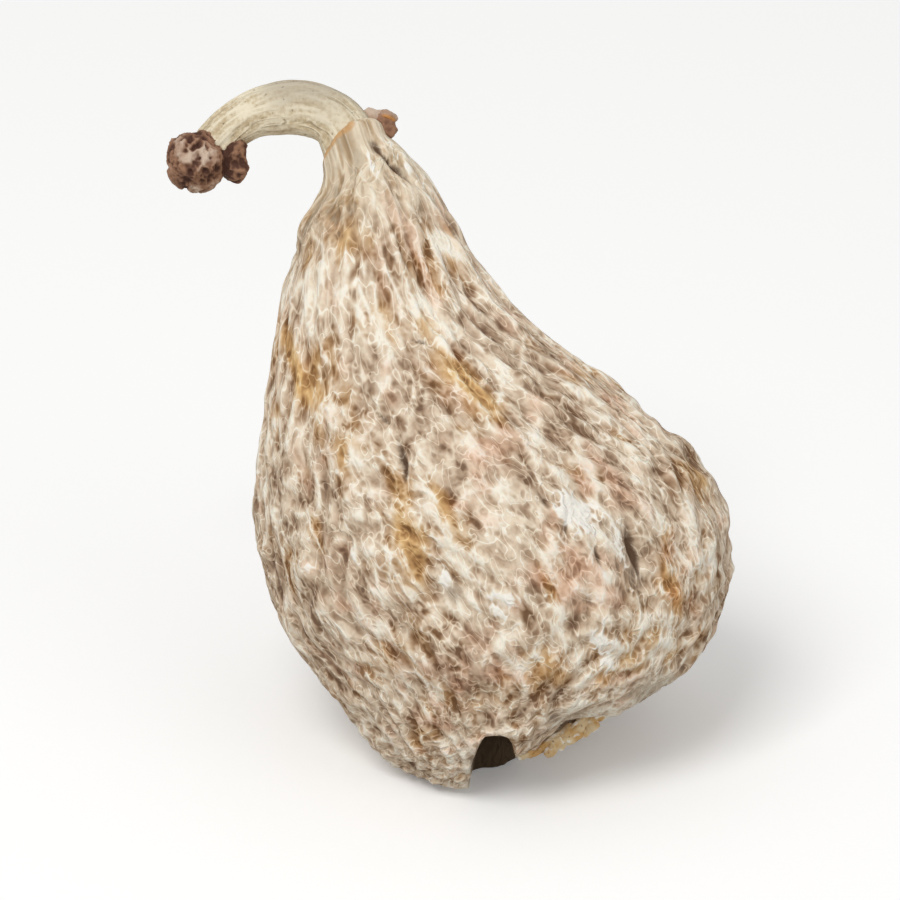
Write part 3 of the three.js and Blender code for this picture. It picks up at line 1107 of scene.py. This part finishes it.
@dataclass(frozen=True)
class Notch:
    """The arch that opens the eye to the front, seen straight at the front in the leaning frame.

    It runs back at full height to open_to, and its end wall reaches the old skin at closed_at. Its sides
    begin to close in at rounds_from and meet rounds_over farther back.
    """

    across: float = -3.72
    half_width: float = 1.75
    foot: float = -2.6
    rise: float = 3.75
    open_to: float = -1.4
    closed_at: float = 0.2
    rounds_from: float = -1.5
    rounds_over: float = 4.5
    raggedness: float = 0.1
    ragged_size: float = 0.7
    shade_sides: Range = (0.85, 1.05)
    shade_front: Range = (-6.0, -5.0)
    shade_back: Range = (2.0, 3.0)
    shade_over: float = 0.3
    shade_blend: float = 0.25

    def cut(self, points: Array, lean: float) -> tuple[Array, Array]:
        """Lifts what hangs under the arch on to it.

        The arch's height is its rise times one less the fourth power of the share of its half width.
        The share grows towards the back, as the sides of half an ellipse, and ragged noise is added.

        Args:
            points: Places in the growing frame.
            lean: How far the fig leans to the left, in degrees.

        Returns:
            The moved places, and how deep in shade each of them is, from 0 to 1.
        """
        upward = np.array([math.sin(math.radians(lean)), 0, math.cos(math.radians(lean))])
        sideways = np.array([upward[2], 0, -upward[0]])
        ragged = SmoothNoise(Seed.NOTCH_EDGE).at(points, self.ragged_size)
        depth = points[..., 1]
        inward = np.maximum(0, depth - self.rounds_from) / self.rounds_over
        side = (points @ sideways - self.across) / self.half_width
        share = np.hypot(side, inward) + self.raggedness * ragged
        under = self.foot + self.rise * (1 - np.minimum(share, 1) ** 4) - points @ upward
        lift = np.maximum(0, under) * (share < 1) * (1 - smoothstep(depth, self.open_to, self.closed_at))
        # Painted shade inside the arch, which the skin's finish paints dark.
        shade = 1 - smoothstep(share, *self.shade_sides)
        shade = shade * smoothstep(under + self.shade_over, 0, self.shade_blend)
        shade = shade * smoothstep(depth, *self.shade_front) * (1 - smoothstep(depth, *self.shade_back))
        return points + lift[..., None] * upward, shade


@dataclass(frozen=True)
class Fruit:
    """The fruit: its form, its wrinkles at two spacings, its creases and its bloom.

    Each range is where a smooth step is 0 and where it is 1.
    """

    form: FigForm = FigForm()
    standing: Standing = Standing()
    notch: Notch = Notch()
    folds: Puckering = Puckering(2.6, 2.0, 4.5, -0.2, Seed.FOLD_DUST)
    net: Puckering = Puckering(1.1, 1.9, 4.2, -0.12, Seed.NET_DUST)
    rows: int = 250
    columns: int = 396
    fold_height: float = 0.24
    net_height: float = 0.18
    grain_height: float = 0.16
    swell_height: float = 0.3
    crease_depth: float = 0.45
    wander: float = 2.6
    wander_size: float = 6.5
    neck_range: Range = (0.50, 0.72)
    grain_drawn: Triple = (1.0, 1.0, 0.6)
    ridge_range: Range = (-0.9, 0.9)
    crest_range: Range = (-0.7, 0.8)
    valley_range: Range = (-1.0, -0.35)
    pit_range: Range = (-1.0, -0.45)
    sleeve_range: Range = (38.6, 40.2)
    stalkward_range: Range = (33.0, 40.0)
    seam_range: Range = (40.25, 40.6)
    seam_side: Range = (-1.6, -0.2)
    eye_range: Range = (0.015, 0.06)
    eye_floor: Range = (0.01, 0.035)

    def neck(self, shares: Array) -> Array:
        """Share of neck: 0 on the belly and 1 on the neck, by the share of the outline."""
        return smoothstep(shares, *self.neck_range)

    def pull(self, shares: Array) -> Array:
        """How far the wrinkles are drawn out: 1 on the neck, 0 on the belly and less round the eye."""
        return self.neck(shares) - 0.35 * (1 - smoothstep(shares, 0.15, 0.36))

    def wrinkles(self, pattern: Puckering, points: Array, noise: SmoothNoise) -> Array:
        """One spacing of wrinkles, read at places that wander a little from the grid.

        Args:
            pattern: The wrinkles to grow.
            points: Places of the grid, which the wandering depends on.
            noise: What the wandering is taken from.

        Returns:
            Heights by row and column, from about -1 to 1.
        """
        shares = middles(self.rows)
        radius, _ = self.form.half_outline(shares[:, 0])
        step = self.form.outline_length() / self.rows
        grown = pattern.grow(radius, step, self.pull(shares[:, 0]), self.columns)
        drift = self.wander * pattern.spacing / 2
        over = noise.at(points, self.wander_size) * drift * smoothstep(radius, 1, 6)[:, None]
        down = noise.at(points + 40, self.wander_size) * drift
        rows = np.arange(self.rows)[:, None] + down / step
        spread = self.columns / (TURN * radius)[:, None]
        return resample(grown, rows, np.arange(self.columns)[None, :] + over * spread)

    def surface(self) -> RingSurface:
        """The wrinkled, pressed skin with the traits that its finish reads.

        The skin moves along its normal by the folds, the net, and noise both broad and fine. The folds
        and the net are smooth steps of their patterns, and the marked creases pull the skin in.

        Returns:
            The closed surface in the part's frame.
        """
        turn = turns(self.columns)
        shares = middles(self.rows)
        plain = self.form.skin(turn, shares)
        up = plain[..., 2]
        rise = self.form.half_outline(shares[:, 0])[1][:, None]
        fold = self.wrinkles(self.folds, plain, SmoothNoise(Seed.FOLD_WANDER))
        net = self.wrinkles(self.net, plain, SmoothNoise(Seed.NET_WANDER))
        straight = self.straight(turn, shares)
        swell = SmoothNoise(Seed.SWELL).layered(plain, 5.5, 2)
        patch = SmoothNoise(Seed.BLOOM_PATCH).layered(plain, 5.0, 3)
        crossing = SmoothNoise(Seed.BROKEN_CREST).at(straight * np.array(self.grain_drawn), 1.6)
        broken = 1 - 2.2 * np.abs(crossing)
        grain = SmoothNoise(Seed.SKIN_GRAIN).at(straight, 0.8)
        stains = {stain: np.sum([mark.weight(plain) for mark in MARKS[stain]], axis=0) for stain in Stain}
        crest = smoothstep(net, *self.crest_range)
        ridge = smoothstep(fold, *self.ridge_range)
        height = self.fold_height * (ridge - 0.5) * np.clip(0.7 + 0.8 * swell, 0.15, 1.3)
        height = height + self.net_height * (crest - 0.5) * np.clip(0.85 - 0.5 * swell, 0.35, 1.2)
        height = height + self.grain_height * (0.6 * broken + 0.4 * grain)
        height = height - self.crease_depth * stains[Stain.CREASE]
        height = height + self.swell_height * swell * (1 - 0.5 * self.neck(shares))
        quiet = smoothstep(shares, 0.0, 0.06) * (1 - 0.6 * smoothstep(up, *self.sleeve_range))
        moved = plain + ring_normals(plain) * (height * quiet)[..., None]
        moved, shade = self.notch.cut(moved, self.standing.lean_left)
        valley = 1 - smoothstep(fold, *self.valley_range)
        pit = 1 - smoothstep(net, *self.pit_range)
        everywhere = np.broadcast_to(shares, net.shape)
        eye = 1 - smoothstep(everywhere, *self.eye_range)
        bloom = 0.22 * crest + 0.14 * ridge + 0.14 * broken + 0.24 * patch
        traits = {
            "straight": straight * MM,
            "bloom": bloom - 0.2 * stains[Stain.OCHRE] + 0.15 * stains[Stain.CHALK],
            "ochre": 0.68 * stains[Stain.OCHRE],
            "rose": 0.3 * stains[Stain.ROSE],
            "chalk": 0.8 * stains[Stain.CHALK],
            # Grey patches, and painted shade low on the fruit.
            "grey_and_shade": stains[Stain.ASH],
            "stalkward": smoothstep(up, *self.stalkward_range),
            # This trait is painted shade: darker in the wrinkles' valleys and pits, along the marked
            # creases and at the eye.
            "crease_shade": 0.35 * valley * pit + 0.15 * pit + 0.9 * stains[Stain.CREASE] + 0.9 * eye,
            "torn": smoothstep(rise, *self.seam_range) * smoothstep(-plain[..., 0], *self.seam_side),
            # Painted shade inside the arch and at the eye.
            "hollow": np.maximum(shade, 0.9 * (1 - smoothstep(everywhere, *self.eye_floor))),
        }
        return RingSurface(self.standing.press(self.standing.lean(moved)), traits)

    def straight(self, turn: Array, shares: Array) -> Array:
        """Places in which the skin's grain is even: the run along the skin is shortened by the stretch
        of the wrinkles there, and the place round the fruit is left as it is.

        Args:
            turn: Angles, as one row.
            shares: Shares of the outline, as one column.

        Returns:
            Places by row, column and axis, in millimetres.
        """
        flat = self.form.half_outline(shares[:, 0])[0][:, None]
        stretch = 1.25 + 2.6 * self.neck(shares[:, 0])
        run = np.cumsum(self.form.outline_length() / self.rows / stretch)[:, None]
        return grid_of(flat * np.cos(turn), flat * np.sin(turn), run)

    def build(self) -> bpy.types.Object:
        """Makes the fruit, which stands for the solid fruit."""
        skin = new_piece("fig_skin", [self.surface()], SkinFinish().material())
        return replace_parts(skin, "fruit")


# ---- The stalk ----


@dataclass(frozen=True)
class Stalk:
    """The hooked stalk: fibres bent over from the neck to the knob."""

    standing: Standing = Standing()
    path: tuple[Triple, ...] = (
        (0.3, 0.0, 37.0), (0.25, 0.0, 39.0), (0.0, 0.05, 41.2), (-0.4, 0.1, 42.6), (-1.5, 0.1, 43.75),
        (-3.1, 0.0, 44.4), (-5.1, -0.2, 44.65), (-6.7, -0.4, 44.35), (-7.9, -0.55, 43.75),
        (-8.7, -0.6, 43.15),
    )
    radius: float = 1.75
    depth: float = 0.94
    flare: float = 0.22
    taper: float = 0.22
    ridges: int = 9
    groove_depth: float = 0.16
    fibre_radius: float = 1.8
    length: float = 13.0
    rows: int = 220
    columns: int = 104

    def surface(self) -> RingSurface:
        """The stalk as a rod carried along its middle line.

        The radius flares at the root and tapers to the end; ridges run along it as a sine of the turn
        that slowly twists, with fibre noise that is long along the stalk and short round it.

        Returns:
            The closed surface in the part's frame.
        """
        turn = turns(self.columns)
        shares = middles(self.rows)
        middle = even_spline(np.array(self.path), shares[:, 0])
        along = unit(np.gradient(middle, axis=0))
        side = unit(np.array([0.0, 1.0, 0.0]) - along[:, 1:2] * along)
        across = np.cross(side, along)
        run = shares * self.length
        straight = grid_of(self.fibre_radius * np.cos(turn), self.fibre_radius * np.sin(turn), run / 4.5)
        fibre = SmoothNoise(Seed.STALK_FIBRE).layered(straight, 0.5, 3)
        broad = SmoothNoise(Seed.STALK_BULGE).at(grid_of(np.cos(turn), np.sin(turn), run / 3), 0.9)
        ridge = np.abs(np.sin((self.ridges * turn + 1.4 * np.sin(shares * 5)) / 2))
        flare = self.flare * (1 - smoothstep(shares, 0.1, 0.38))
        taper = self.taper * smoothstep(shares, 0.5, 0.95)
        groove_and_shade = bump(np.cos(turn - math.pi * 0.93), 1, 0.012) * smoothstep(shares, 0.3, 0.5)
        ends = 1 - (1 - np.minimum(1, np.minimum(shares, 1 - shares) / 0.05)) ** 2
        radius = self.radius * (1 + flare - taper + 0.05 * (ridge - 0.6) + 0.035 * fibre + 0.05 * broad)
        radius = (radius - self.groove_depth * groove_and_shade) * np.sqrt(ends)
        offset = across[:, None] * (radius * np.cos(turn))[..., None]
        offset = offset + side[:, None] * (radius * np.sin(turn) * self.depth)[..., None]
        traits = {
            "straight": straight * MM,
            # Painted shade in the furrow and between the ridges.
            "groove_and_shade": 0.8 * groove_and_shade + 0.35 * (1 - smoothstep(ridge, 0.0, 0.25)) - 0.1,
            # Greyer on the outer side of the bend.
            "grey_on_bend": bump(shares, 0.52, 0.18) * (0.5 + 0.5 * np.cos(turn)) + 0.2 * broad,
        }
        return RingSurface(self.standing.lean(middle[:, None] + offset), traits)

    def build(self) -> bpy.types.Object:
        """Makes the stalk, which stands for the solid stalk."""
        stalk = new_piece("fig_stalk", [self.surface()], StalkFinish().material())
        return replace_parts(stalk, "stalk")


# ---- The knob, the bract and the scales ----


@dataclass(frozen=True)
class Knob:
    """The torn collar and the rugged ball at the stalk's end."""

    standing: Standing = Standing()
    outline: Outline = (
        (0.0, 0.25), (0.9, 0.1), (1.45, 0.05), (1.65, 0.5), (1.5, 1.05), (1.05, 1.38), (1.35, 1.8),
        (1.78, 2.5), (1.85, 3.3), (1.55, 4.2), (0.8, 4.75), (0.0, 4.8),
    )
    at: Triple = (-6.75, -0.3, 42.35)
    axis: Triple = (-0.93, -0.3, 0.19)
    lumps: int = 5
    lump_height: float = 0.07
    lump_drift: float = 1.1
    nubs: int = 6
    nub_height: float = 0.35
    rows: int = 150
    columns: int = 150

    def surface(self) -> RingSurface:
        """The knob as a lumpy revolved outline.

        The radius has lumps as a sine of the turn and torn nubs on the collar as a sharper one; the
        ball is rough with ridged noise, which is one less twice the size of smooth noise.

        Returns:
            The closed surface in the part's frame.
        """
        turn = turns(self.columns)
        flat, height = even_spline(np.array(self.outline), middles(self.rows)[:, 0]).T[..., None]
        lump = 1 + self.lump_height * np.sin(self.lumps * turn + self.lump_drift * height)
        plain = grid_of(flat * lump * np.cos(turn), flat * lump * np.sin(turn), height)
        rough = 1 - 2 * np.abs(SmoothNoise(Seed.KNOB_ROUGH).layered(plain, 0.85, 3))
        lumpy = SmoothNoise(Seed.KNOB_LUMP).at(plain, 1.3)
        collar = bump(height, 0.55, 0.5)
        ball = smoothstep(height, 1.5, 2.1)
        nub = np.maximum(0, np.sin(self.nubs * turn + 0.8)) ** 3 * collar
        moved = 0.14 * (rough - 0.3) * (0.5 + ball) + 0.12 * lumpy + self.nub_height * nub - 0.1 * collar
        grown = plain + ring_normals(plain) * moved[..., None]
        traits = {
            # The high trait is lowered in the furrow between the ball and the collar: painted shade there.
            "high": 0.5 * rough + 0.4 * lumpy + 0.2 * nub - 0.7 * bump(height, 1.4, 0.3),
            "rub": 0.9 * bump(height, 3.3, 1.1) * smoothstep(lumpy + 0.4 * rough, -0.1, 0.9),
            "torn": 0.8 * collar * smoothstep(np.cos(turn - 1.2), 0.2, 1.0) * (0.5 + nub),
        }
        return RingSurface(self.standing.lean(self.turned(grown)), traits)

    def turned(self, points: Array) -> Array:
        """Turns the knob's own axis on to its place in the growing frame, by the shortest way."""
        rotation = Vector((0, 0, 1)).rotation_difference(Vector(self.axis).normalized()).to_matrix()
        return points @ np.array(rotation).T + np.array(self.at)

    def build(self) -> bpy.types.Object:
        """Makes the knob, which stands for the solid knob."""
        knob = new_piece("fig_stalk_end_knob", [self.surface()], BarkFinish().material())
        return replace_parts(knob, "stalk_end_knob")


@dataclass(frozen=True)
class Flake:
    """A small dry flake: a flat lens, curled and crinkled.

    Attributes:
        at: Its middle, in the growing frame.
        out: The way that its face looks.
        along: The way that its length runs.
        size: Half length, half width and half thickness.
        curl: How far its ends bend away from its face, in millimetres.
        seed: Sets its crinkles.
        pale: How much of it is rubbed pale, from 0 to 1.
    """

    at: Triple
    out: Triple
    along: Triple
    size: Triple
    curl: float
    seed: int
    pale: float = 0.3

    def surface(self, standing: Standing, rows: int, columns: int) -> RingSurface:
        """The flake as a squashed ball.

        Its length, width and thickness follow a cosine and a sine of the two angles; the ends drop by
        the curl times the square of how far along they are, and noise crinkles the whole.

        Args:
            standing: How the fig stands.
            rows: Rows from tip to tip.
            columns: Columns round the flake.

        Returns:
            The closed surface in the part's frame.
        """
        turn = turns(columns)
        tilt = middles(rows) * math.pi
        length, width, thick = self.size
        run = -np.cos(tilt)
        girth = np.sin(tilt) ** 0.75
        wide = girth * np.cos(turn)
        local = grid_of(run * length, wide * width, girth * np.sin(turn) * thick)
        rough = SmoothNoise(self.seed).layered(local, 0.9, 3)
        ragged = SmoothNoise(self.seed + 50).at(local, 0.5)
        local[..., 1] *= 1 + 0.3 * ragged
        local[..., 0] *= 1 + 0.15 * rough
        local[..., 2] += 0.3 * rough * thick - self.curl * run**2 + 0.25 * rough * self.curl
        along = unit(np.array(self.along))
        out = unit(np.array(self.out) - along * np.dot(along, self.out))
        across = np.cross(out, along)
        place = local[..., :1] * along + local[..., 1:2] * across + local[..., 2:] * out
        edge = smoothstep(np.maximum(np.abs(run), np.abs(wide)), 0.55, 1.0)
        traits = {
            "high": 0.5 + 0.5 * rough,
            "rub": self.pale * (0.5 + 0.5 * smoothstep(wide + 0.5 * run, -0.6, 0.6)),
            "torn": 0.9 * smoothstep(-wide, 0.2, 0.9) * bump(np.float64(self.pale), 0.5, 0.3),
            "edge": edge * (0.7 + 0.5 * ragged),
        }
        return RingSurface(standing.lean(place + np.array(self.at)), traits)


@dataclass(frozen=True)
class Bract:
    """The small dry bract where the stalk meets the neck."""

    standing: Standing = Standing()
    flakes: tuple[Flake, ...] = (
        Flake((2.0, 0.9, 42.1), (-0.4, -0.8, 0.6), (0.9, 0.1, -0.3), (0.95, 0.6, 0.32), 0.25, 71, 0.8),
        Flake((2.6, 0.85, 41.3), (0.5, -0.8, -0.1), (0.35, 0.1, -0.9), (0.9, 0.66, 0.4), 0.2, 73, 0.0),
        Flake((3.05, 1.0, 41.85), (0.6, -0.6, 0.5), (0.7, 0.2, -0.6), (0.6, 0.4, 0.26), 0.1, 79, 0.5),
    )
    rows: int = 60
    columns: int = 64

    def build(self) -> bpy.types.Object:
        """Makes the bract, which stands for the solid bract.

        Returns:
            The new object.
        """
        surfaces = [flake.surface(self.standing, self.rows, self.columns) for flake in self.flakes]
        bract = new_piece("fig_neck_bract", surfaces, BarkFinish().material())
        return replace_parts(bract, "neck_bract")


@dataclass(frozen=True)
class EyeScales:
    """The row of dry scales along the lip of the eye."""

    standing: Standing = Standing()
    path: tuple[Triple, ...] = (
        (-1.6, -5.6, 0.4), (0.1, -5.7, 0.5), (1.6, -5.5, 0.75), (2.9, -5.2, 1.15), (3.8, -4.7, 1.55),
    )
    count: int = 34
    rows: int = 24
    columns: int = 28

    def flakes(self) -> list[Flake]:
        """Crumbs along the path, each placed, turned and sized a little differently.

        Returns:
            The crumbs, as flakes.
        """
        rng = np.random.default_rng(Seed.CRUMB_PLACE)
        places = even_spline(np.array(self.path), middles(self.count)[:, 0])
        made = []
        for number, (place, way) in enumerate(zip(places, unit(np.gradient(places, axis=0)))):
            at = place + np.array([0.25, 0.3, 0.34]) * rng.uniform(-1, 1, 3)
            out = np.array([0.2, -0.8, -0.7]) + 0.6 * rng.uniform(-1, 1, 3)
            along = np.array([0.8, 0.1, 0.6]) + 0.5 * way + 0.6 * rng.uniform(-1, 1, 3)
            size = (rng.uniform(0.45, 0.9), rng.uniform(0.26, 0.46), rng.uniform(0.18, 0.32))
            curl = rng.uniform(0.0, 0.18)
            seed = Seed.CRUMB_CRINKLE + number
            made.append(Flake(tuple(at), tuple(out), tuple(along), size, curl, seed))
        return made

    def build(self) -> bpy.types.Object:
        """Makes the scales, which stand for the solid row of scales.

        Returns:
            The new object.
        """
        surfaces = [flake.surface(self.standing, self.rows, self.columns) for flake in self.flakes()]
        scales = new_piece("fig_eye_scales", surfaces, ScaleFinish().material())
        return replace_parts(scales, "eye_scales")


# ---- Floor, light and camera ----


@dataclass(frozen=True)
class Studio:
    """A pale floor, soft lamps and the camera, with lengths in metres and angles in degrees."""

    aim: Triple = (-0.0012, 0.004, 0.0185)
    elevation: float = 26.0
    distance: float = 0.42
    lens: float = 262.0
    floor_half: float = 2.0
    floor_shown: Colour = (250, 250, 249)
    floor_bounce: Colour = (196, 194, 190)
    floor_glow: float = 0.14
    sky: float = 0.5

    def floor(self) -> None:
        """A wide flat floor at Z = 0, shown near white but reflecting less on to the fig."""
        half = self.floor_half
        mesh = bpy.data.meshes.new("floor")
        corners = [(-half, -half, 0), (half, -half, 0), (half, half, 0), (-half, half, 0)]
        mesh.from_pydata(corners, [], [(0, 1, 2, 3)])
        graph = Graph("floor")
        rays = graph.node("LightPath").outputs
        seen = graph.sum(*((rays[f"Is {kind} Ray"], 1.0) for kind in ("Camera", "Glossy", "Transmission")))
        graph.tree.nodes.remove(graph.place.node)
        graph.put(graph.shader.inputs["Emission Strength"], graph.times(seen, self.floor_glow))
        graph.put(graph.shader.inputs["Emission Color"], WHITE)
        colour = graph.blend(seen, self.floor_bounce, self.floor_shown)
        mesh.materials.append(graph.finish(colour, 0.9, 0.1))
        floor = bpy.data.objects.new("floor", mesh)
        bpy.context.scene.collection.objects.link(floor)

    def world(self) -> None:
        """A plain sky that is white where it is seen and lights the fig evenly."""
        world = bpy.data.worlds.new("sky")
        world.use_nodes = True
        tree = world.node_tree
        background = tree.nodes["Background"]
        rays = tree.nodes.new("ShaderNodeLightPath").outputs
        strength = tree.nodes.new("ShaderNodeMapRange")
        strength.inputs["To Min"].default_value = self.sky
        strength.inputs["To Max"].default_value = 1.0
        tree.links.new(rays["Is Camera Ray"], strength.inputs["Value"])
        tree.links.new(strength.outputs["Result"], background.inputs["Strength"])
        background.inputs["Color"].default_value = WHITE
        bpy.context.scene.world = world

    def lamp(self, name: str, place: Triple, size: float, level: float) -> None:
        """A square lamp that looks at the fig.

        A white surface facing the lamp gets the given level: the power is the level times pi squared
        times the distance squared.

        Args:
            name: Name of the lamp.
            place: Where it is.
            size: Length of its side.
            level: How bright it makes a white surface, from 0 to 1.
        """
        light = bpy.data.lights.new(name, "AREA")
        reach = Vector(place) - Vector(self.aim)
        light.size = size
        light.energy = level * math.pi**2 * reach.length_squared
        self.aimed(bpy.data.objects.new(name, light), reach)

    def aimed(self, thing: bpy.types.Object, reach: Vector) -> None:
        """Puts a lamp or camera where it looks at the fig.

        Args:
            thing: The lamp or camera.
            reach: The way to it from the point that it looks at.
        """
        thing.location = Vector(self.aim) + reach
        thing.rotation_euler = reach.to_track_quat("Z", "Y").to_euler()
        bpy.context.scene.collection.objects.link(thing)

    def camera(self) -> None:
        """A long lens that looks at the fig from the front, at right angles to the fig's axis."""
        data = bpy.data.cameras.new("camera")
        data.lens = self.lens
        camera = bpy.data.objects.new("camera", data)
        tilt = math.radians(self.elevation)
        self.aimed(camera, Vector((0, -math.cos(tilt), math.sin(tilt))) * self.distance)
        bpy.context.scene.camera = camera

    def build(self) -> None:
        """Sets the floor, the sky, the lamps and the camera."""
        self.floor()
        self.world()
        self.lamp("key", (-0.22, -0.38, 0.62), 0.35, 0.5)
        self.lamp("fill", (0.5, -0.45, 0.3), 0.5, 0.1)
        self.camera()
        bpy.context.scene.view_settings.view_transform = "Standard"


def main() -> None:
    """Loads the solid parts and builds every piece around them."""
    logging.basicConfig(level=logging.INFO, format="%(name)s: %(message)s")
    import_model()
    for builder in (Studio(), Fruit(), Stalk(), Knob(), Bract(), EyeScales()):
        builder.build()
        LOG.info("%s is built", type(builder).__name__)


if __name__ == "__main__":
    main()
